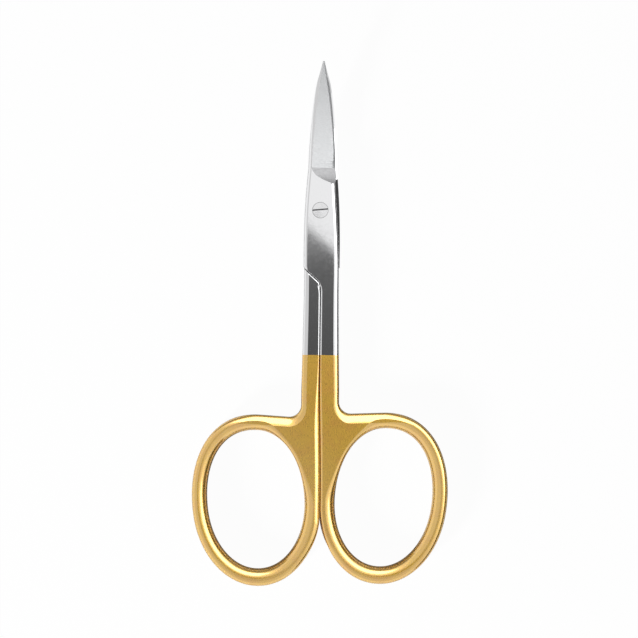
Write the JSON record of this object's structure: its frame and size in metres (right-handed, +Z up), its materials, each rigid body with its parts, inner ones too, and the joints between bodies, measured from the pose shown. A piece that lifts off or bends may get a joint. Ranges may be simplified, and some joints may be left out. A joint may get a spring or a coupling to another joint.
{
  "type": "nail scissors",
  "caption": "Small nail scissors with curved blades, oval finger rings and a slotted countersunk pivot screw.",
  "frame": {"origin": "under the middle of the closed scissors, on the surface that they lie on", "axes": "+Y to the blade tips, +X to the finger ring of the half with the screw head, +Z up from the surface, the way the blades curve"},
  "size_m": [0.044, 0.09, 0.0053],
  "materials": {
    "polished_steel": "mirror polished plates and shanks, fine satin ground blades",
    "gold_plating": "polished gold plating with faintly satin flats",
    "screw_steel": "turned and polished flush"
  },
  "bodies": {
    "rear_half": {"rear_half": "polished_steel", "pivot_screw": "screw_steel"},
    "front_half": {"front_half": "polished_steel"}
  },
  "joints": [
    {"name": "pivot", "type": "hinge", "parent": "rear_half", "child": "front_half", "pos_m": [-0.00044, 0.01965, 0], "axis": [0, 0, 1], "range_deg": [0, 140]}
  ]
}
